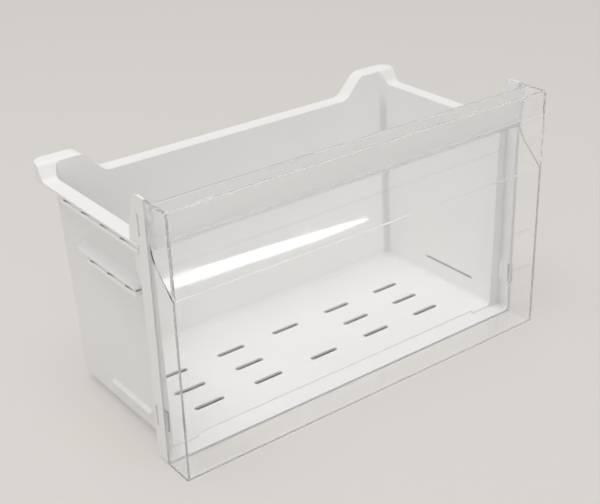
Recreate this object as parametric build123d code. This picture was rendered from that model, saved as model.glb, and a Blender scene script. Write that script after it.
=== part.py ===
from build123d import *
import math
import os

# A freezer drawer: a white open-topped tub with a clear front that clips into its front frame.
# Millimetres, +Z up, the drawer's front faces -Y. All sizes below are measured from the front
# plane backwards (depths), from the middle plane outwards (half widths) and from the underside
# of the front upwards (heights). The finished pieces are moved back so that the origin sits
# under the middle of the whole drawer.

# Main sizes
FRONT_WIDTH = 430.0
FRONT_HEIGHT = 257.0
OVERALL_DEPTH = 241.5

# Clear front
FRONT_DEPTH = 33.5
CLEAR_WALL = 2.5

# Handle scoop in the clear front
LIP_HEIGHT = 24.0
CREASE_HEIGHT = 179.5
LEDGE_DEPTH = 26.2
SCOOP_SLOPE = 45.0
SCOOP_LEAN = 9.0
SCOOP_BEND = 28.0
FRONT_FOOT_RADIUS = 3.0
LEDGE_EDGE_RADIUS = 2.0
LEDGE_BACK_RADIUS = 2.0
CREASE_RADIUS = 1.4
CHEEK_EDGE_RADIUS = 1.0

# Clips that hold the clear front in the tub
CLIP_LOW_HEIGHT = 47.5
CLIP_TOP_DROP = 26.5
CLIP_TALL = 20.0
CLIP_THICK = 1.8
CLIP_ROOT = 4.0
CLIP_REACH = 13.0
CLIP_BARB = 1.9
CLIP_BARB_LONG = 2.6
CLIP_GAP = 0.4
SEAT_GAP = 0.3

# Tub
TUB_WALL = 2.5
TUB_CORNER = 8.0
FLOOR_TOP = 7.4
FLOOR_FILLET = 5.0
WALL_DRAFT = 0.7
BACK_LEAN = 3.2

# Rim, which is lower along the back and rises into a hump at each back corner
RIM_HEIGHT = 213.0
BACK_RIM_HEIGHT = 204.5
HUMP_HEIGHT = 228.5
RIM_THICK = 2.2
RIM_OVERHANG = 2.0
SIDE_RIM_WIDE = 15.2
BACK_RIM_WIDE = 17.5
RIM_CORNER = 13.0
HUMP_LONG = 68.0
HUMP_RUN = 23.0
HUMP_ROUND = 15.0
HUMP_SIDE_LONG = 24.5
HUMP_SIDE_RUN = 9.0
HUMP_SIDE_ROUND = 7.0

# Side rails, each a plate over a groove, with a toothed shelf below the groove
RAIL_GAP = 1.6
RAIL_PLATE = 1.9
RAIL_SHELF = 4.4
RAIL_SHELF_EDGE = 0.8
RAIL_SHELF_SLANT = 2.0
RAIL_WEB_INSET = 6.5
TOOTH_DEEP = 2.2
TOOTH_RUN = 20.0
TOOTH_LIP = 4.0
TOOTH_FIRST = 78.0
TOOTH_PITCH = 34.0
TOOTH_COUNT = 4
LOW_RAIL_HEIGHT = 165.5
LOW_RAIL_INSET = 2.0
LOW_RAIL_START = 63.0
LOW_RAIL_END = 171.0
LOW_RAIL_COVE = 7.0
LOW_RAIL_END_ROUND = 9.0
LOW_TOOTH_FIRST = 82.0
LOW_TOOTH_PITCH = 31.0
LOW_TOOTH_COUNT = 3

# Front frame of the tub
SKIRT_BACK = 49.5
FIN_TOP_DEPTH = 50.0
FIN_FOOT_DEPTH = 62.0
FIN_FOOT_RISE = 15.0
FIN_ROUND = 8.0
FIN_RISE = 0.5
FIN_REACH = 40.0
FRAME_CORNER = 4.0
SILL_RISE = 3.7
SILL_LONG = 16.8
SILL_INSET = 25.0

# Floor slots, with the middle one left out
SLOT_LONG = 33.0
SLOT_WIDE = 5.5
SLOT_PITCH_X = 69.2
SLOT_PITCH_Y = 32.6
SLOT_MIDDLE_DEPTH = 116.5

# Stiffening ridge pressed out of each side wall
RIDGE_TOP = 30.4
RIDGE_OUT = 3.4
RIDGE_EDGE = 1.0
RIDGE_START = 72.0
RIDGE_END = 151.0

# Derived places
HALF_FRONT = FRONT_WIDTH / 2
HALF_INSIDE_CLEAR = HALF_FRONT - CLEAR_WALL
CLIP_HEIGHTS = (CLIP_LOW_HEIGHT, FRONT_HEIGHT - CLIP_TOP_DROP)
SKIRT_FRONT = FRONT_DEPTH + SEAT_GAP
SKIRT_HALF_INSIDE = HALF_FRONT - TUB_WALL
SHOULDER_FRONT = SKIRT_BACK - TUB_WALL
FLOOR_UNDERSIDE = FLOOR_TOP - TUB_WALL
SIDE_SLOPE = math.tan(math.radians(WALL_DRAFT))
BACK_SLOPE = math.tan(math.radians(BACK_LEAN))
RIM_HALF_WIDTH = HALF_FRONT + RIM_OVERHANG
TUB_HALF_INSIDE = RIM_HALF_WIDTH - SIDE_RIM_WIDE - (RIM_HEIGHT - FLOOR_TOP) * SIDE_SLOPE
TUB_BACK_INSIDE = OVERALL_DEPTH - BACK_RIM_WIDE - (BACK_RIM_HEIGHT - FLOOR_TOP) * BACK_SLOPE
HUMP_FOOT = RIM_HALF_WIDTH - HUMP_LONG
HUMP_SIDE_FOOT = OVERALL_DEPTH - HUMP_SIDE_LONG
LOW_RAIL_HALF_WIDTH = RIM_HALF_WIDTH - LOW_RAIL_INSET
SILL_HALF_WIDTH = TUB_HALF_INSIDE - SILL_INSET
TALL = FRONT_HEIGHT + 60.0
MARGIN = 40.0
WIDE = RIM_HALF_WIDTH + MARGIN
DEEP = OVERALL_DEPTH + MARGIN
TO_ORIGIN = Pos(0, -OVERALL_DEPTH / 2, 0)


def block(x0, x1, y0, y1, z0, z1):
    """A plain box between two corners."""
    low = (min(x0, x1), min(y0, y1), min(z0, z1))
    size = (abs(x1 - x0), abs(y1 - y0), abs(z1 - z0))
    return Pos(*low) * Box(*size, align=(Align.MIN, Align.MIN, Align.MIN))


def rounded_path(points, radii):
    """A path through the points, each inner corner rounded by its own radius."""
    edges = []
    start = Vector(*points[0])
    for index in range(1, len(points) - 1):
        corner = Vector(*points[index])
        before = (Vector(*points[index - 1]) - corner).normalized()
        after = (Vector(*points[index + 1]) - corner).normalized()
        half_angle = math.acos(before.dot(after)) / 2
        radius = radii[index - 1]
        step = radius / math.tan(half_angle)
        enter = corner + before * step
        leave = corner + after * step
        inward = (before + after).normalized()
        middle = corner + inward * (radius / math.sin(half_angle) - radius)
        edges.append(Edge.make_line(start, enter))
        edges.append(Edge.make_three_point_arc(enter, middle, leave))
        start = leave
    edges.append(Edge.make_line(start, Vector(*points[-1])))
    return Wire(edges)


def rounded_face(points, radii):
    """A closed outline whose corners are rounded; a zero radius leaves a corner sharp."""
    edges = []
    count = len(points)
    ends = []
    for index in range(count):
        corner = Vector(*points[index])
        before = (Vector(*points[index - 1]) - corner).normalized()
        after = (Vector(*points[(index + 1) % count]) - corner).normalized()
        radius = radii[index]
        if radius == 0:
            ends.append((corner, None, corner))
            continue
        half_angle = math.acos(before.dot(after)) / 2
        step = radius / math.tan(half_angle)
        inward = (before + after).normalized()
        middle = corner + inward * (radius / math.sin(half_angle) - radius)
        ends.append((corner + before * step, middle, corner + after * step))
    for index in range(count):
        enter, middle, leave = ends[index]
        if middle is not None:
            edges.append(Edge.make_three_point_arc(enter, middle, leave))
        edges.append(Edge.make_line(leave, ends[(index + 1) % count][0]))
    return Face(Wire(edges))


def side_profile(face, x0, x1):
    """Extrude an outline drawn as (depth, height) from x0 to x1."""
    return Pos(x0, 0, 0) * extrude(Plane.YZ * face, x1 - x0, dir=(1, 0, 0))


def front_profile(face, y0, y1):
    """Extrude an outline drawn as (across, height) from depth y0 to y1."""
    return Pos(0, y0, 0) * extrude(Plane.XZ * face, y1 - y0, dir=(0, 1, 0))


def plan_profile(face, z0, z1, taper=0.0):
    """Extrude an outline drawn in plan from height z0 to z1."""
    return Pos(0, 0, z0) * extrude(face, z1 - z0, taper=taper)


def scoop_corner():
    """Where the slope of the scoop and its back wall would meet, on the middle of the sheet."""
    half = CLEAR_WALL / 2
    rise = math.tan(math.radians(SCOOP_SLOPE))
    lean = math.tan(math.radians(SCOOP_LEAN))
    top_y = LEDGE_DEPTH - half
    top_z = FRONT_HEIGHT - half
    crease_y = half
    crease_z = CREASE_HEIGHT - half
    z = (top_y + lean * top_z - crease_y + crease_z / rise) / (1 / rise + lean)
    return (crease_y + (z - crease_z) / rise, z)


def clear_sheet():
    """The folded cross-section of the clear front: foot, wall, scoop, ledge and lip."""
    half = CLEAR_WALL / 2
    points = [
        (FRONT_DEPTH, half),
        (half, half),
        (half, CREASE_HEIGHT - half),
        scoop_corner(),
        (LEDGE_DEPTH - half, FRONT_HEIGHT - half),
        (half, FRONT_HEIGHT - half),
        (half, FRONT_HEIGHT - LIP_HEIGHT),
    ]
    radii = [FRONT_FOOT_RADIUS, CREASE_RADIUS, SCOOP_BEND, LEDGE_BACK_RADIUS, LEDGE_EDGE_RADIUS]
    return trace(rounded_path(points, radii), CLEAR_WALL)


def clear_cheek():
    """Side wall of the clear front, as seen from the side."""
    points = [(0, 0), (FRONT_DEPTH, 0), (FRONT_DEPTH, FRONT_HEIGHT), (0, FRONT_HEIGHT)]
    foot = FRONT_FOOT_RADIUS + CLEAR_WALL / 2
    top = LEDGE_EDGE_RADIUS + CLEAR_WALL / 2
    return rounded_face(points, [foot, 0, 0, top])


def clip(side, height):
    """A tongue behind the cheek with a barb that snaps into the tub's slit."""
    low = height - CLIP_TALL / 2
    high = height + CLIP_TALL / 2
    outer = SKIRT_HALF_INSIDE - CLIP_GAP
    inner = outer - CLIP_THICK
    end = FRONT_DEPTH + CLIP_REACH
    tongue = block(side * inner, side * outer, FRONT_DEPTH - CLIP_ROOT, end, low, high)
    root_end = FRONT_DEPTH - 0.5
    root = block(side * inner, side * HALF_INSIDE_CLEAR, FRONT_DEPTH - CLIP_ROOT, root_end, low, high)
    barb_face = Polyline(
        (side * outer, end - CLIP_BARB_LONG),
        (side * (outer + CLIP_BARB), end - CLIP_BARB_LONG),
        (side * outer, end),
        close=True,
    )
    barb = plan_profile(make_face(barb_face), low, high)
    return tongue + root + barb


def clear_front():
    """The clear front, one moulding."""
    body = side_profile(clear_sheet(), -HALF_INSIDE_CLEAR, HALF_INSIDE_CLEAR)
    body += side_profile(clear_cheek(), HALF_INSIDE_CLEAR, HALF_FRONT)
    body += side_profile(clear_cheek(), -HALF_FRONT, -HALF_INSIDE_CLEAR)
    rim_edges = []
    for edge in body.edges():
        box = edge.bounding_box()
        on_side = abs(abs(box.min.X) - HALF_FRONT) < 0.01 and abs(box.max.X - box.min.X) < 0.01
        at_back = box.min.Y > FRONT_DEPTH - 0.01
        if on_side and not at_back:
            rim_edges.append(edge)
    body = fillet(rim_edges, CHEEK_EDGE_RADIUS)
    for side in (-1, 1):
        for height in CLIP_HEIGHTS:
            body += clip(side, height)
    return body


def tub_plan(half_width, back, corner):
    """Plan outline of the tub, run forward past the front plane."""
    points = [(-half_width, -MARGIN), (half_width, -MARGIN), (half_width, back), (-half_width, back)]
    return rounded_face(points, [0, 0, corner, corner])


def tub_form(low, grow, floor_round):
    """The tub's inner space, or with a growth its outer form: drafted sides and a leaning back."""
    outlines = []
    for height in (low, TALL):
        rise = height - FLOOR_TOP
        half_width = TUB_HALF_INSIDE + grow + rise * SIDE_SLOPE
        back = TUB_BACK_INSIDE + grow + rise * BACK_SLOPE
        outlines.append(Pos(0, 0, height) * tub_plan(half_width, back, TUB_CORNER + grow))
    form = loft(outlines, ruled=True)
    floor_edges = []
    for edge in form.edges():
        box = edge.bounding_box()
        if abs(box.max.Z - low) < 0.01 and box.max.Y > 1 - MARGIN:
            floor_edges.append(edge)
    return fillet(floor_edges, floor_round)


def below_rim(drop, push):
    """Everything below the rim line, which rises into a hump at each back corner.

    The drop lowers the form and the push moves its slopes inwards, so that the space between two
    such forms is a plate of even thickness."""
    side_top = RIM_HEIGHT - drop
    back_top = BACK_RIM_HEIGHT - drop
    high = HUMP_HEIGHT - drop
    side_foot = HUMP_SIDE_FOOT + push / 2
    foot = HUMP_FOOT + push / 2
    crest = foot + HUMP_RUN
    along_side = [
        (-MARGIN, -MARGIN), (-MARGIN, side_top), (side_foot, side_top),
        (side_foot + HUMP_SIDE_RUN, high), (DEEP, high), (DEEP, -MARGIN),
    ]
    side_radii = [0, 0, HUMP_SIDE_ROUND, HUMP_SIDE_ROUND, 0, 0]
    along_back = [
        (-WIDE, -MARGIN), (-WIDE, high), (-crest, high), (-foot, back_top),
        (foot, back_top), (crest, high), (WIDE, high), (WIDE, -MARGIN),
    ]
    back_radii = [0, 0, HUMP_ROUND, HUMP_ROUND, HUMP_ROUND, HUMP_ROUND, 0, 0]
    split = HUMP_SIDE_FOOT - SIDE_RIM_WIDE
    form = front_profile(rounded_face(along_back, back_radii), split, DEEP)
    form += block(-WIDE, WIDE, -MARGIN, split, -MARGIN, TALL)
    return form & side_profile(rounded_face(along_side, side_radii), -WIDE, WIDE)


def hump_lip(rim_solid):
    """The wall that hangs from the outer edge of each hump down to the level of the side rims."""
    outer = tub_plan(RIM_HALF_WIDTH, OVERALL_DEPTH, RIM_CORNER)
    inner = tub_plan(RIM_HALF_WIDTH - RIM_THICK, OVERALL_DEPTH - RIM_THICK, RIM_CORNER - RIM_THICK)
    low = RIM_HEIGHT - RIM_THICK
    lip = plan_profile(outer, low, TALL) - plan_profile(inner, low - 1, TALL + 1)
    return lip & rim_solid & block(-WIDE, WIDE, HUMP_SIDE_FOOT, DEEP, low, TALL)


def rail(side, half_width, start, end, top, tooth_first, tooth_pitch, tooth_count):
    """A side rail: a plate, a groove under it, and a shelf with teeth that are deepest at their back."""
    root = TUB_HALF_INSIDE + TUB_WALL / 2
    web = half_width - RAIL_WEB_INSET
    groove_top = top - RAIL_PLATE
    shelf_top = groove_top - RAIL_GAP
    shelf_bottom = shelf_top - RAIL_SHELF
    shelf_end = tooth_first + (tooth_count - 1) * tooth_pitch + TOOTH_LIP
    shelf = [
        (side * root, shelf_bottom),
        (side * half_width, shelf_bottom),
        (side * half_width, shelf_bottom + RAIL_SHELF_EDGE),
        (side * (half_width - RAIL_SHELF_SLANT), shelf_top),
        (side * root, shelf_top),
    ]
    body = block(side * root, side * half_width, start, end, groove_top, top)
    body += block(side * root, side * web, start, shelf_end, shelf_bottom, top)
    body += front_profile(rounded_face(shelf, [0] * len(shelf)), start, shelf_end)
    for number in range(tooth_count):
        deep = tooth_first + number * tooth_pitch
        tooth = [
            (deep, shelf_top + RAIL_GAP / 2),
            (deep, shelf_top - TOOTH_DEEP),
            (deep - TOOTH_RUN, shelf_top),
            (deep - TOOTH_RUN, shelf_top + RAIL_GAP / 2),
        ]
        outer_side = sorted((side * web, side * (half_width + 1)))
        body -= side_profile(rounded_face(tooth, [0] * len(tooth)), *outer_side)
    return body


def low_rail(side):
    """The shorter rail below: the wall runs out into its top, and its back end is rounded in plan."""
    half_width = LOW_RAIL_HALF_WIDTH
    top = LOW_RAIL_HEIGHT
    body = rail(side, half_width, LOW_RAIL_START, LOW_RAIL_END, top,
                LOW_TOOTH_FIRST, LOW_TOOTH_PITCH, LOW_TOOTH_COUNT)
    wall = TUB_HALF_INSIDE + TUB_WALL + (top - FLOOR_TOP) * SIDE_SLOPE
    cove_x = wall + LOW_RAIL_COVE
    cove_z = top + LOW_RAIL_COVE
    cove_y = (LOW_RAIL_START + LOW_RAIL_END) / 2
    hollow = Rot(90, 0, 0) * Cylinder(LOW_RAIL_COVE, LOW_RAIL_END - LOW_RAIL_START + 2)
    cove = block(side * (wall - 1), side * cove_x, LOW_RAIL_START, LOW_RAIL_END, top - 1, cove_z)
    body += cove - Pos(side * cove_x, cove_y, cove_z) * hollow
    corner_x = half_width - LOW_RAIL_END_ROUND
    corner_y = LOW_RAIL_END - LOW_RAIL_END_ROUND
    low = top - MARGIN
    high = top + MARGIN
    corner = block(side * corner_x, side * WIDE, corner_y, DEEP, low, high)
    corner -= Pos(side * corner_x, corner_y, top) * Cylinder(LOW_RAIL_END_ROUND, 3 * MARGIN)
    keep = block(side * WIDE, side * corner_x, LOW_RAIL_END, DEEP, low, high)
    return body - (corner + keep)


def u_outline(half_width, low, high, corner):
    """A tall outline with rounded lower corners, for the frame around the front opening."""
    points = [(-half_width, low), (half_width, low), (half_width, high), (-half_width, high)]
    return rounded_face(points, [corner, corner, 0, 0])


def sill_height(depth):
    """Height of the sloped sill behind the clear front's foot."""
    return TUB_WALL + (depth - SKIRT_FRONT) * SILL_RISE / SILL_LONG


def front_frame():
    """The frame that the clear front meets: skirt, shoulder and sloped sill."""
    skirt = front_profile(u_outline(HALF_FRONT, 0, RIM_HEIGHT, FRAME_CORNER), SKIRT_FRONT, SKIRT_BACK)
    hollow = u_outline(SKIRT_HALF_INSIDE, TUB_WALL, TALL, FRAME_CORNER)
    skirt -= front_profile(hollow, SKIRT_FRONT - 1, SHOULDER_FRONT)
    slope = [
        (SKIRT_FRONT, 0), (SKIRT_BACK, 0),
        (SKIRT_BACK, sill_height(SKIRT_BACK)), (SKIRT_FRONT, sill_height(SKIRT_FRONT)),
    ]
    sill = side_profile(rounded_face(slope, [0, 0, 0, 0]), -SKIRT_HALF_INSIDE, SKIRT_HALF_INSIDE)
    return skirt + sill


def sill_recess():
    """What is taken off the floor's front so that the sill runs on into it."""
    start = SHOULDER_FRONT - 1
    end = SKIRT_FRONT + SILL_LONG
    above = FLOOR_TOP + 1
    points = [(start, sill_height(start)), (end, sill_height(end)), (end, above), (start, above)]
    return side_profile(rounded_face(points, [0, 0, 0, 0]), -SILL_HALF_WIDTH, SILL_HALF_WIDTH)


def fin(side):
    """The upright plate at each end of the clear front, above the rim."""
    top = FRONT_HEIGHT + FIN_RISE
    points = [
        (SKIRT_FRONT, RIM_HEIGHT - FIN_REACH),
        (SKIRT_BACK, RIM_HEIGHT - FIN_REACH),
        (FIN_FOOT_DEPTH, RIM_HEIGHT - RAIL_PLATE),
        (FIN_FOOT_DEPTH - 1.5, RIM_HEIGHT + FIN_FOOT_RISE),
        (FIN_TOP_DEPTH, top),
        (SKIRT_FRONT, top),
    ]
    face = rounded_face(points, [0, 0, 0, FIN_ROUND, FIN_ROUND, 0])
    return side_profile(face, side * SKIRT_HALF_INSIDE, side * HALF_FRONT)


def clip_slits():
    """Slits in the skirt and fins for the barbs."""
    cuts = []
    end = FRONT_DEPTH + CLIP_REACH
    for side in (-1, 1):
        for height in CLIP_HEIGHTS:
            low = height - CLIP_TALL / 2 - CLIP_GAP
            high = height + CLIP_TALL / 2 + CLIP_GAP
            cuts.append(block(
                side * (SKIRT_HALF_INSIDE - 0.2), side * (HALF_FRONT + 1),
                end - CLIP_BARB_LONG - CLIP_GAP, end + CLIP_GAP, low, high,
            ))
    return cuts


def floor_slots():
    """The drain slots through the floor, five across and three deep without the middle one."""
    cuts = []
    for column in range(-2, 3):
        for row in range(-1, 2):
            if column == 0 and row == 0:
                continue
            x = column * SLOT_PITCH_X
            y = SLOT_MIDDLE_DEPTH + row * SLOT_PITCH_Y
            slot = Pos(x, y) * SlotOverall(SLOT_LONG, SLOT_WIDE)
            cuts.append(plan_profile(slot, -1, FLOOR_TOP + 1))
    return cuts


def ridge(side, wall, out, trim):
    """A low ridge with a sloping top along the side wall; with a trim it is the groove inside."""
    base = TUB_HALF_INSIDE - 1
    face_x = wall + out
    bottom = RIDGE_TOP - RIDGE_OUT - RIDGE_EDGE + trim
    points = [
        (side * base, bottom - 0.5),
        (side * face_x, bottom),
        (side * face_x, RIDGE_TOP - out),
        (side * base, RIDGE_TOP + wall - base),
    ]
    plan = [
        (side * base, RIDGE_START + trim),
        (side * face_x, RIDGE_START + trim + 2 * out),
        (side * face_x, RIDGE_END - trim - out),
        (side * base, RIDGE_END - trim),
    ]
    body = front_profile(rounded_face(points, [0, 0, 0, 0]), RIDGE_START, RIDGE_END)
    ends = Polyline(*plan, close=True)
    return body & extrude(make_face(ends), TALL, dir=(0, 0, 1))


def tub():
    """The white tub, one moulding."""
    inside = tub_form(FLOOR_TOP, 0, FLOOR_FILLET)
    outside = tub_form(FLOOR_UNDERSIDE, TUB_WALL, FLOOR_FILLET + TUB_WALL - 1)
    keep = block(-WIDE, WIDE, SHOULDER_FRONT, DEEP, -MARGIN, TALL)
    rim_solid = below_rim(0, 0)
    plate = rim_solid - below_rim(RIM_THICK, RIM_THICK)
    ring_plan = tub_plan(RIM_HALF_WIDTH, OVERALL_DEPTH, RIM_CORNER)
    ring = plan_profile(ring_plan, BACK_RIM_HEIGHT - MARGIN, TALL) & keep & plate
    body = (outside & keep & rim_solid) + ring + hump_lip(rim_solid)
    for side in (-1, 1):
        body += ridge(side, TUB_HALF_INSIDE + TUB_WALL, RIDGE_OUT, 0)
        body += rail(side, RIM_HALF_WIDTH, SHOULDER_FRONT + 1, HUMP_SIDE_FOOT, RIM_HEIGHT,
                     TOOTH_FIRST, TOOTH_PITCH, TOOTH_COUNT)
        body += low_rail(side)
    body += front_frame()
    body -= inside
    for side in (-1, 1):
        body -= ridge(side, TUB_HALF_INSIDE, RIDGE_OUT - 0.4, 1.1)
        body += fin(side)
    for cut in clip_slits() + floor_slots() + [sill_recess()]:
        body -= cut
    return body


os.makedirs("parts", exist_ok=True)
export_step(TO_ORIGIN * tub(), "parts/drawer_tub.step")
export_step(TO_ORIGIN * clear_front(), "parts/clear_front.step")
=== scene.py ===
"""Looks of a freezer drawer: a white moulded tub with a clear front clipped into it."""

import math

import bpy
from bpy.props import FloatProperty, FloatVectorProperty, PointerProperty
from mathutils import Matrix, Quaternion, Vector


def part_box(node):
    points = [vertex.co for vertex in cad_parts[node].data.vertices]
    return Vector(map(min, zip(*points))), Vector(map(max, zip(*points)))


bl_info = {
    "name": "Freezer Drawer",
    "version": (1, 0, 0),
    "blender": (4, 5, 0),
    "location": "3D View > Sidebar > Drawer",
    "description": "Gives a freezer drawer its white and clear plastic, its floor, light and camera",
    "category": "Object",
}

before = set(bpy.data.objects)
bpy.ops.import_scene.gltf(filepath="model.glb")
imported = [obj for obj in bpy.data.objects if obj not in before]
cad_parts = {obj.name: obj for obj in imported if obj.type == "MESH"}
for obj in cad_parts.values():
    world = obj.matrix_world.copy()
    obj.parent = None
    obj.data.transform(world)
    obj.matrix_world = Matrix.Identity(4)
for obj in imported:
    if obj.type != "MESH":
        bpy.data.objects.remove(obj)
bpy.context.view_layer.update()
FRONT_LOW, FRONT_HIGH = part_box("clear_front")
FRONT_PLANE = FRONT_LOW.y

# Random patterns, each with its features per metre and its finer layers
PATCH_PATTERN = (9.0, 2.0)
SATIN_PATTERN = (60.0, 3.0)
SCUFF_PATTERN = (45.0, 4.0)
MOTTLE_PATTERN = (3.0, 2.0)
FIBRE_PATTERN = (700.0, 2.0)

# Finer layers of the patterns that have their features per metre as a setting
GRAIN_LAYERS = 2.0
WAVE_LAYERS = 1.0

# Value around which every pattern varies
PATTERN_MIDDLE = 0.5

# Values between which a pattern or a painted shade goes from none to all
PATCH_LIMITS = (0.35, 0.75)
SCUFF_LIMITS = (0.5, 0.8)
NOOK_SHADE_LIMITS = (0.25, 0.85)
FACING_LIMITS = (0.1, 0.4)
SLANT_LIMITS = (0.1, 1.0)

# Distances over which the painted shade of the tub's corners and of its frame's step fades, in metres
CORNER_SOFT = 0.01
CORNER_FADE_LENGTH = 0.035
STEP_SOFT = 0.0005
STEP_SIDE_SOFT = 0.001

# Paper of the floor, with the height of its fibres in metres
FLOOR_SIDES = 96
FLOOR_ROUGHNESS = 0.55
FLOOR_MOTTLE = 0.1
FLOOR_SHINE = 0.2
FIBRE_HEIGHT = 0.00003

# Width of the camera's sensor in millimetres
SENSOR_WIDTH = 36.0

# How far light is followed through the clear plastic, and how finely nooks are looked for to paint shade
# in them
LIGHT_BOUNCES = 64
NOOK_SAMPLES = 8


class Signal:
    """One output of a node; arithmetic on it adds Math nodes to the same finish."""

    def __init__(self, finish, socket):
        self.finish = finish
        self.socket = socket

    def other(self, name):
        """Another output of the same node."""
        return Signal(self.finish, self.socket.node.outputs[name])

    def math(self, operation, first, second):
        return self.finish.node("Math", {"operation": operation}, {0: first, 1: second})

    def __add__(self, value):
        return self.math("ADD", self, value)

    def __radd__(self, value):
        return self.math("ADD", value, self)

    def __sub__(self, value):
        return self.math("SUBTRACT", self, value)

    def __rsub__(self, value):
        return self.math("SUBTRACT", value, self)

    def __mul__(self, value):
        return self.math("MULTIPLY", self, value)

    def __rmul__(self, value):
        return self.math("MULTIPLY", value, self)

    def __abs__(self):
        return self.finish.node("Math", {"operation": "ABSOLUTE"}, {0: self})


class Finish:
    """A material or world under construction, empty at first."""

    def __init__(self, owner):
        owner.use_nodes = True
        self.tree = owner.node_tree
        self.tree.nodes.clear()

    def node(self, kind, settings=None, sockets=None):
        """Adds a node, makes its settings, fills or links its sockets and gives its first output."""
        node = self.tree.nodes.new("ShaderNode" + kind)
        for name, value in (settings or {}).items():
            setattr(node, name, value)
        for name, value in (sockets or {}).items():
            if isinstance(value, Signal):
                self.tree.links.new(value.socket, node.inputs[name])
            else:
                node.inputs[name].default_value = value
        return Signal(self, node.outputs[0]) if node.outputs else None

    def places(self):
        """Points of the surface in the drawer's own frame, in metres."""
        return self.node("TexCoord").other("Object")

    def split(self, vector):
        """The X of a vector, whose other outputs are its Y and Z."""
        return self.node("SeparateXYZ", None, {0: vector})

    def noise(self, places, scale, detail):
        """Soft random values around a half, with features of about one over the scale in metres."""
        return self.node("TexNoise", None, {"Vector": places, "Scale": scale, "Detail": detail})

    def ramp(self, value, low, high):
        """0 below low, 1 above high and smooth between."""
        settings = {"interpolation_type": "SMOOTHSTEP"}
        return self.node("MapRange", settings, {"Value": value, "From Min": low, "From Max": high})

    def between(self, value, low, high, soft):
        """1 between low and high, falling to 0 over the soft distance outside."""
        return self.ramp(value, low - soft, low) * (1 - self.ramp(value, high, high + soft))

    def seen(self):
        """1 for what the camera sees, also by way of gloss or clear plastic, and 0 for other light."""
        ray = self.node("LightPath")
        sight = ray.other("Is Camera Ray") + ray.other("Is Glossy Ray") + ray.other("Is Transmission Ray")
        return self.ramp(sight, 0.0, 1.0)

    def blend(self, share, first, second):
        """A colour between two others."""
        return self.node("Mix", {"data_type": "RGBA"}, {0: share, 6: first, 7: second}).other(2)

    def bump(self, height, distance):
        """A surface normal that follows a pattern, on which a value of 1 is the distance high."""
        return self.node("Bump", None, {"Height": height, "Distance": distance, "Strength": 1.0})


def wear(node_name, material):
    """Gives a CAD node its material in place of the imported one."""
    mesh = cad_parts[node_name].data
    mesh.materials.clear()
    mesh.materials.append(material)


def colour(name, description, default):
    return FloatVectorProperty(
        name=name, description=description, default=default, size=4, min=0.0, max=1.0, subtype="COLOR"
    )


def metres(name, description, default):
    return FloatProperty(name=name, description=description, default=default, unit="LENGTH", precision=4)


def part_of_one(name, description, default):
    return FloatProperty(
        name=name, description=description, default=default, min=0.0, max=1.0, subtype="FACTOR"
    )


def plain(name, description, default):
    return FloatProperty(name=name, description=description, default=default)


def degrees(name, description, default):
    return FloatProperty(
        name=name, description=description, default=math.radians(default), subtype="ANGLE"
    )


def point(name, description, default):
    return FloatVectorProperty(
        name=name, description=description, default=default, size=3, subtype="TRANSLATION"
    )


class DrawerWhite(bpy.types.PropertyGroup):
    """The white plastic of the tub, with shade painted into its nooks, its back corners and its frame's
    step.
    """

    body: colour("White", "Main colour of the tub", (0.90, 0.897, 0.89, 1.0))
    shade: colour("Aged White", "Colour of the slightly yellowed patches", (0.885, 0.88, 0.868, 1.0))
    roughness: part_of_one("Roughness", "Satin of the moulded surface", 0.36)
    uneven: part_of_one("Uneven Satin", "How much the satin varies over the surface", 0.12)
    grain: plain("Grain", "Grains of the mould's surface per metre", 1400.0)
    grain_depth: metres("Grain Depth", "Height of the grain", 0.00003)
    sink: plain("Sink Marks", "Shallow waves of the moulding per metre", 22.0)
    sink_depth: metres("Sink Depth", "Height of the shallow waves", 0.0002)
    # Painted shade: the white darkens to this colour deep in its nooks, which are found by ambient
    # occlusion
    nook: colour("Nook", "Colour of the white plastic deep in its nooks", (0.70, 0.695, 0.69, 1.0))
    nook_reach: metres("Nook Reach", "How far the shade of a nook reaches", 0.014)
    # Painted shade in the round of the inner back corners and on the front frame's step
    corner: colour("Corner", "Colour of the shade in the back corners", (0.70, 0.695, 0.69, 1.0))
    corner_start: metres("Corner Start", "Depth behind the front plane where the corners start", 0.18)
    corner_fade: metres("Corner Fade", "Height where the shade of the corners starts to fade", 0.175)
    corner_loss: part_of_one("Corner Loss", "How much of that shade is gone at the top", 0.8)
    step_start: metres("Step Start", "Depth behind the front plane where the frame's step starts", 0.0445)
    step_end: metres("Step End", "Depth behind the front plane where the frame's step ends", 0.0525)
    step_side: metres("Step Side", "Distance from the middle where the frame's step starts", 0.198)
    step_share: part_of_one("Step Share", "How much of the corners' shade the step has", 0.42)


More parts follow.
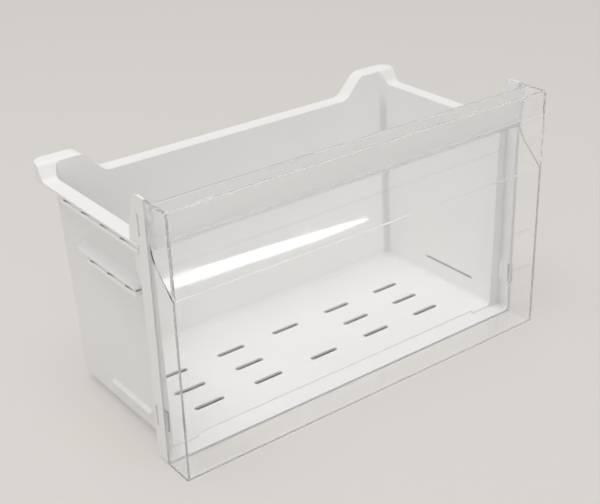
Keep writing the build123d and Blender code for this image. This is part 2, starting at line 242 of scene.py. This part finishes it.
class DrawerClear(bpy.types.PropertyGroup):
    """The clear plastic of the front."""

    tint: colour("Tint", "Colour of light that passes one surface", (0.998, 0.999, 1.0, 1.0))
    depth_tint: colour("Depth Tint", "Colour that long ways through it take", (0.52, 0.54, 0.68, 1.0))
    depth_density: plain("Depth Density", "How fast the depth tint builds up, per metre", 1.2)
    passing: colour("Passing Light", "Lamp light that passes one surface", (0.92, 0.93, 0.935, 1.0))
    bending: plain("Refraction", "Index of refraction of the clear plastic", 1.5)
    roughness: part_of_one("Roughness", "Polish of the clear surfaces", 0.02)
    scuffs: part_of_one("Scuffs", "Roughness that light scuffs add", 0.03)
    wave: plain("Flow Waves", "Flow waves of the moulding per metre", 14.0)
    wave_depth: metres("Wave Depth", "Height of the flow waves", 0.00003)
    # Painted shade: a darker bluish tint on the rear edges, where the front meets the tub
    edge: colour("Rear Edge", "Colour of the rear edges, which meet the tub", (0.84, 0.845, 0.87, 1.0))
    edge_depth: metres("Edge Depth", "Distance of the rear edges behind the front plane", 0.0335)
    edge_wide: metres("Edge Width", "Width of the darker band along the rear edges", 0.0024)
    edge_satin: part_of_one("Edge Satin", "Roughness of the rear edges", 0.4)
    clip_depth: metres("Clip Depth", "Distance of the frosted clips behind the front plane", 0.0339)
    clip_haze: part_of_one("Clip Haze", "How much of the clips is haze", 0.95)
    corner: metres("Corner", "Width of the rounded corners along the top and the foot", 0.0018)
    corner_satin: part_of_one("Corner Satin", "Roughness of those rounded corners", 0.3)
    # Painted highlight: whitish haze on the rounded corners makes the top and foot edges read as light
    # lines
    corner_highlight_haze: part_of_one("Corner Haze", "How much of those rounded corners is haze", 0.3)
    satin: part_of_one("Satin", "Roughness of the satin wall behind the finger lip", 0.42)
    satin_low: metres("Satin Start", "Height at which the satin wall starts", 0.2175)
    satin_high: metres("Satin End", "Height at which the satin wall ends", 0.2540)
    satin_depth: metres("Satin Depth", "Distance of the satin wall behind the front plane", 0.0205)
    satin_side: metres("Satin Side", "Distance from the middle to the ends of the satin wall", 0.2122)
    # Haze colour: frosted plastic on the satin wall and the clips, and a painted highlight on the rounded
    # corners
    haze: colour("Haze", "Colour of the haze", (0.93, 0.925, 0.915, 1.0))
    haze_share: part_of_one("Haze Share", "How much of the satin wall is haze", 0.45)
    soft: metres("Soft Edge", "Width over which satin and haze fade out", 0.0008)


class DrawerStage(bpy.types.PropertyGroup):
    """Floor, light and camera."""

    floor: colour("Floor", "Colour of the pale floor", (0.75, 0.72, 0.685, 1.0))
    floor_radius: metres("Floor Radius", "Radius of the floor", 9.0)
    floor_drop: metres("Floor Drop", "Room between the floor and the drawer's foot", 0.0005)
    floor_even: colour("Even Floor", "Colour of the floor in even light", (0.69, 0.658, 0.628, 1.0))
    floor_share: part_of_one("Even Share", "How much of the seen floor is in even light", 0.5)
    under_side: metres("Under Side", "Half width of the floor under the tub", 0.185)
    under_front: metres("Under Front", "Front end of the floor under the tub", -0.085)
    under_back: metres("Under Back", "Back end of the floor under the tub", 0.105)
    under_soft: metres("Under Soft", "Width over which the floor under the tub turns even", 0.012)
    background: colour("Background", "Colour of the pale background", (0.74, 0.715, 0.695, 1.0))
    daylight: colour("Daylight", "Colour of the light from all round", (1.0, 0.995, 0.985, 1.0))
    daylight_level: plain("Daylight Level", "Strength of the light from all round", 0.54)
    softbox_place: point("Softbox Place", "Middle of the large lamp overhead", (-0.4, 0.1, 2.6))
    softbox_size: metres("Softbox Size", "Side of the large lamp overhead", 1.8)
    softbox_power: plain("Softbox Power", "Power of the large lamp overhead in watts", 26.7)
    fill_place: point("Fill Place", "Middle of the low lamp beside the camera", (-1.0, -1.9, 0.75))
    fill_size: metres("Fill Size", "Side of the low lamp beside the camera", 1.4)
    fill_power: plain("Fill Power", "Power of the low lamp beside the camera in watts", 7.2)
    strip_place: point("Strip Place", "Middle of the long thin lamp", (0.793, -1.085, 1.8))
    strip_long: metres("Strip Length", "Length of the long thin lamp", 1.15)
    strip_wide: metres("Strip Width", "Width of the long thin lamp", 0.038)
    strip_turn: degrees("Strip Turn", "Turn of the long thin lamp from the drawer's width", -1.7)
    strip_power: plain("Strip Power", "Power of the long thin lamp in watts", 0.58)
    view_turn: degrees("View Turn", "Turn of the camera round the drawer", -36.61)
    view_rise: degrees("View Rise", "Height of the camera above the horizon", 26.60)
    view_roll: degrees("View Roll", "Roll of the camera", -1.86)
    view_distance: metres("View Distance", "Distance of the camera from the view point", 0.9898)
    view_point: point("View Point", "Point that the camera looks at", (-0.0874, FRONT_PLANE, 0.1823))
    lens: plain("Lens", "Focal length in millimetres", 69.62)


class DRAWER_OT_white_tub(bpy.types.Operator):
    """Gives the tub its white satin plastic, with shade painted into its corners, its frame's step and
    its nooks
    """

    bl_idname = "drawer.white_tub"
    bl_label = "White Tub"

    def execute(self, context):
        look = context.scene.drawer_white
        material = bpy.data.materials.new("white_plastic")
        finish = Finish(material)
        places = finish.places()
        satin = finish.noise(places, *SATIN_PATTERN)
        grain = finish.noise(places, look.grain, GRAIN_LAYERS)
        sink = finish.noise(places, look.sink, WAVE_LAYERS)
        height = grain * look.grain_depth + sink * look.sink_depth
        surface = finish.node("BsdfPrincipled", None, {
            "Base Color": self.shaded_white(finish, look, places),
            "Roughness": look.roughness + (satin - PATTERN_MIDDLE) * look.uneven,
            "Normal": finish.bump(height, 1.0),
        })
        finish.node("OutputMaterial", None, {"Surface": surface})
        wear("drawer_tub", material)
        return {"FINISHED"}

    def shaded_white(self, finish, look, places):
        """White with faint aged patches, and with shade painted into the upright corners, onto the
        frame's step and deep into the nooks.
        """
        patches = finish.ramp(finish.noise(places, *PATCH_PATTERN), *PATCH_LIMITS)
        white = finish.blend(patches, tuple(look.body), tuple(look.shade))
        shaded = finish.blend(self.painted_corner_shade(finish, look, places), white, tuple(look.corner))
        # Painted shade: ambient occlusion darkens the white towards the nook colour
        search = {"samples": NOOK_SAMPLES, "only_local": True}
        openness = finish.node("AmbientOcclusion", search, {"Distance": look.nook_reach}).other("AO")
        return finish.blend(finish.ramp(openness, *NOOK_SHADE_LIMITS), tuple(look.nook), shaded)

    def painted_corner_shade(self, finish, look, places):
        """1 where shade is painted: in the round of the inner back corners, and a share of it on the
        front frame's step.
        """
        spot = finish.split(places)
        back = spot.other("Y") - FRONT_PLANE
        normal = finish.split(finish.node("NewGeometry").other("Normal"))
        ahead = finish.ramp(0 - normal.other("Y"), *FACING_LIMITS)
        # Twice the product of two parts of the normal is 1 where the wall turns by 45 degrees
        slant = abs(normal * normal.other("Y")) * 2
        fade = finish.ramp(spot.other("Z"), look.corner_fade, look.corner_fade + CORNER_FADE_LENGTH)
        far = finish.ramp(back, look.corner_start, look.corner_start + CORNER_SOFT)
        # Shade painted into the round of the corners fades towards the top, and a share of it is painted
        # on the step
        corner = finish.ramp(slant, *SLANT_LIMITS) * far * (1 - look.corner_loss * fade)
        step = finish.between(back, look.step_start, look.step_end, STEP_SOFT)
        outer = finish.ramp(abs(spot), look.step_side, look.step_side + STEP_SIDE_SOFT)
        return ahead * (corner + step * outer * look.step_share)


class DRAWER_OT_clear_front(bpy.types.Operator):
    """Gives the front its clear plastic, with a satin wall behind the finger lip, painted shade on its
    rear edges and a painted highlight on its rounded corners
    """

    bl_idname = "drawer.clear_front"
    bl_label = "Clear Front"

    def execute(self, context):
        look = context.scene.drawer_clear
        material = bpy.data.materials.new("clear_plastic")
        finish = Finish(material)
        places = finish.places()
        spot = finish.split(places)
        back = spot.other("Y") - FRONT_PLANE
        up = spot.other("Z")
        satin = self.satin_wall(finish, look, spot, back, up)
        edge = self.rear_edges(finish, look, back)
        corner = self.rounded_corners(finish, look, back, up)
        clip = finish.ramp(back, look.clip_depth, look.clip_depth + look.soft)
        scuffs = finish.ramp(finish.noise(places, *SCUFF_PATTERN), *SCUFF_LIMITS)
        rough = look.roughness + scuffs * look.scuffs + satin * look.satin
        flow = finish.noise(places, look.wave, WAVE_LAYERS)
        polished = finish.node("BsdfPrincipled", None, {
            # The rear edges take a darker tint as painted shade, and more roughness
            "Base Color": finish.blend(edge, tuple(look.tint), tuple(look.edge)),
            "Roughness": rough + edge * look.edge_satin + corner * look.corner_satin,
            "IOR": look.bending,
            "Transmission Weight": 1.0,
            "Normal": finish.bump(flow, look.wave_depth),
        })
        haze = finish.node("BsdfPrincipled", None, {
            "Base Color": tuple(look.haze),
            "Roughness": look.satin,
        })
        # Haze is frosted plastic on the satin wall and the clips, and a painted highlight on the rounded
        # corners
        frost_and_painted_highlight = satin * look.haze_share + corner * look.corner_highlight_haze + clip * look.clip_haze
        surface = finish.node("MixShader", None, {0: frost_and_painted_highlight, 1: polished, 2: haze})
        finish.node("OutputMaterial", None, {
            "Surface": self.let_lamps_through(finish, look, surface),
            "Volume": self.depth_tint(finish, look),
        })
        wear("clear_front", material)
        return {"FINISHED"}

    def satin_wall(self, finish, look, spot, back, up):
        """1 on the wall behind the finger lip, between its ends."""
        wall = finish.ramp(back, look.satin_depth - look.soft, look.satin_depth)
        tall = finish.between(up, look.satin_low, look.satin_high, look.soft)
        wide = 1 - finish.ramp(abs(spot), look.satin_side, look.satin_side + look.soft)
        return wall * tall * wide

    def rear_edges(self, finish, look, back):
        """1 in a narrow band along the rear edges, where shade is painted as a darker tint."""
        start = look.edge_depth - look.edge_wide
        return finish.between(back, start, look.edge_depth + look.soft / 2, look.soft / 4)

    def rounded_corners(self, finish, look, back, up):
        """1 on the rounded corners of the front plane, along the top and the foot."""
        ahead = 1 - finish.ramp(back, look.corner, look.corner + look.soft)
        inside = finish.between(up, FRONT_LOW.z + look.corner, FRONT_HIGH.z - look.corner, look.soft)
        return ahead * (1 - inside)

    def let_lamps_through(self, finish, look, surface):
        """The surface, which lamp light passes straight on its way to what lies behind."""
        shadow = finish.node("LightPath").other("Is Shadow Ray")
        passing = finish.node("BsdfTransparent", None, {"Color": tuple(look.passing)})
        return finish.node("MixShader", None, {0: shadow, 1: surface, 2: passing})

    def depth_tint(self, finish, look):
        """The faint colour inside the plastic."""
        return finish.node("VolumeAbsorption", None, {
            "Color": tuple(look.depth_tint),
            "Density": look.depth_density,
        })


class DRAWER_OT_stage(bpy.types.Operator):
    """Sets the pale floor, the soft light and the camera"""

    bl_idname = "drawer.stage"
    bl_label = "Stage"

    def execute(self, context):
        look = context.scene.drawer_stage
        self.lay_floor(context, look)
        self.light_world(context, look)
        self.hang_softboxes(context, look)
        self.hang_strip(context, look)
        self.set_camera(context, look)
        context.scene.view_settings.view_transform = "Standard"
        rays = context.scene.cycles
        rays.max_bounces = LIGHT_BOUNCES
        rays.glossy_bounces = LIGHT_BOUNCES
        rays.transmission_bounces = LIGHT_BOUNCES
        return {"FINISHED"}

    def lay_floor(self, context, look):
        """A round sheet of paper, which the camera sees partly in even light."""
        bpy.ops.object.select_all(action="DESELECT")
        bpy.ops.mesh.primitive_circle_add(
            vertices=FLOOR_SIDES,
            radius=look.floor_radius,
            fill_type="NGON",
            location=(0.0, 0.0, -look.floor_drop),
        )
        floor = context.object
        floor.name = "floor"
        material = bpy.data.materials.new("floor_paper")
        finish = Finish(material)
        places = finish.places()
        mottle = finish.noise(places, *MOTTLE_PATTERN)
        fibre = finish.noise(places, *FIBRE_PATTERN)
        paper = finish.node("BsdfPrincipled", None, {
            "Base Color": tuple(look.floor),
            "Roughness": FLOOR_ROUGHNESS + mottle * FLOOR_MOTTLE,
            "Specular IOR Level": FLOOR_SHINE,
            "Normal": finish.bump(fibre, FIBRE_HEIGHT),
        })
        even = finish.node("Emission", None, {"Color": tuple(look.floor_even), "Strength": 1.0})
        share = finish.seen() * self.open_floor(finish, look, places) * look.floor_share
        surface = finish.node("MixShader", None, {0: share, 1: paper, 2: even})
        finish.node("OutputMaterial", None, {"Surface": surface})
        floor.data.materials.append(material)

    def open_floor(self, finish, look, places):
        """0 on the floor under the tub and 1 all round it."""
        spot = finish.split(places)
        across = 1 - finish.ramp(abs(spot), look.under_side - look.under_soft, look.under_side)
        along = finish.between(spot.other("Y"), look.under_front, look.under_back, look.under_soft)
        return 1 - across * along

    def light_world(self, context, look):
        """Light from all round, with a pale background where the camera sees past the floor."""
        world = bpy.data.worlds.new("studio")
        context.scene.world = world
        finish = Finish(world)
        light = finish.node("Background", None, {
            "Color": tuple(look.daylight),
            "Strength": look.daylight_level,
        })
        paper = finish.node("Background", None, {"Color": tuple(look.background), "Strength": 1.0})
        mix = finish.node("MixShader", None, {0: finish.seen(), 1: light, 2: paper})
        finish.node("OutputWorld", None, {"Surface": mix})

    def hang_lamp(self, context, name, place, power):
        """An area lamp that faces the middle of the drawer."""
        data = bpy.data.lights.new(name, "AREA")
        data.energy = power
        lamp = bpy.data.objects.new(name, data)
        context.scene.collection.objects.link(lamp)
        lamp.location = place
        lamp.rotation_mode = "QUATERNION"
        middle = Vector((0.0, 0.0, FRONT_HIGH.z / 2))
        lamp.rotation_quaternion = (middle - lamp.location).to_track_quat("-Z", "Y")
        return lamp

    def hang_softboxes(self, context, look):
        """The large lamp overhead and the low one beside the camera."""
        overhead = self.hang_lamp(context, "softbox", look.softbox_place, look.softbox_power)
        overhead.data.size = look.softbox_size
        fill = self.hang_lamp(context, "fill", look.fill_place, look.fill_power)
        fill.data.size = look.fill_size

    def hang_strip(self, context, look):
        """The long thin lamp, which faces down and makes the streak on the clear front."""
        lamp = self.hang_lamp(context, "strip", look.strip_place, look.strip_power)
        lamp.data.shape = "ELLIPSE"
        lamp.data.size = look.strip_long
        lamp.data.size_y = look.strip_wide
        lamp.rotation_quaternion = Quaternion((0.0, 0.0, 1.0), look.strip_turn)

    def set_camera(self, context, look):
        """The camera at the photograph's viewing angle."""
        data = bpy.data.cameras.new("camera")
        data.lens = look.lens
        data.sensor_width = SENSOR_WIDTH
        data.sensor_fit = "HORIZONTAL"
        camera = bpy.data.objects.new("camera", data)
        context.scene.collection.objects.link(camera)
        level = math.cos(look.view_rise)
        back = Vector((
            math.sin(look.view_turn) * level,
            -math.cos(look.view_turn) * level,
            math.sin(look.view_rise),
        ))
        camera.location = Vector(look.view_point) + back * look.view_distance
        camera.rotation_mode = "QUATERNION"
        roll = Quaternion((0.0, 0.0, 1.0), look.view_roll)
        camera.rotation_quaternion = (-back).to_track_quat("-Z", "Y") @ roll
        context.scene.camera = camera


class DRAWER_PT_sidebar(bpy.types.Panel):
    """The drawer's finishes and stage in the sidebar"""

    bl_idname = "DRAWER_PT_sidebar"
    bl_label = "Freezer Drawer"
    bl_space_type = "VIEW_3D"
    bl_region_type = "UI"
    bl_category = "Drawer"

    def draw(self, context):
        for operator, group in STEPS:
            box = self.layout.box()
            box.operator(operator.bl_idname)
            settings = getattr(context.scene, group)
            for name in settings.__annotations__:
                box.prop(settings, name)


GROUPS = {"drawer_white": DrawerWhite, "drawer_clear": DrawerClear, "drawer_stage": DrawerStage}
STEPS = (
    (DRAWER_OT_white_tub, "drawer_white"),
    (DRAWER_OT_clear_front, "drawer_clear"),
    (DRAWER_OT_stage, "drawer_stage"),
)


def register():
    for name, group in GROUPS.items():
        bpy.utils.register_class(group)
        setattr(bpy.types.Scene, name, PointerProperty(type=group))
    for operator, _ in STEPS:
        bpy.utils.register_class(operator)
    bpy.utils.register_class(DRAWER_PT_sidebar)


def unregister():
    bpy.utils.unregister_class(DRAWER_PT_sidebar)
    for operator, _ in reversed(STEPS):
        bpy.utils.unregister_class(operator)
    for name, group in reversed(GROUPS.items()):
        delattr(bpy.types.Scene, name)
        bpy.utils.unregister_class(group)


def main():
    register()
    bpy.ops.drawer.white_tub()
    bpy.ops.drawer.clear_front()
    bpy.ops.drawer.stage()


if __name__ == "__main__":
    main()
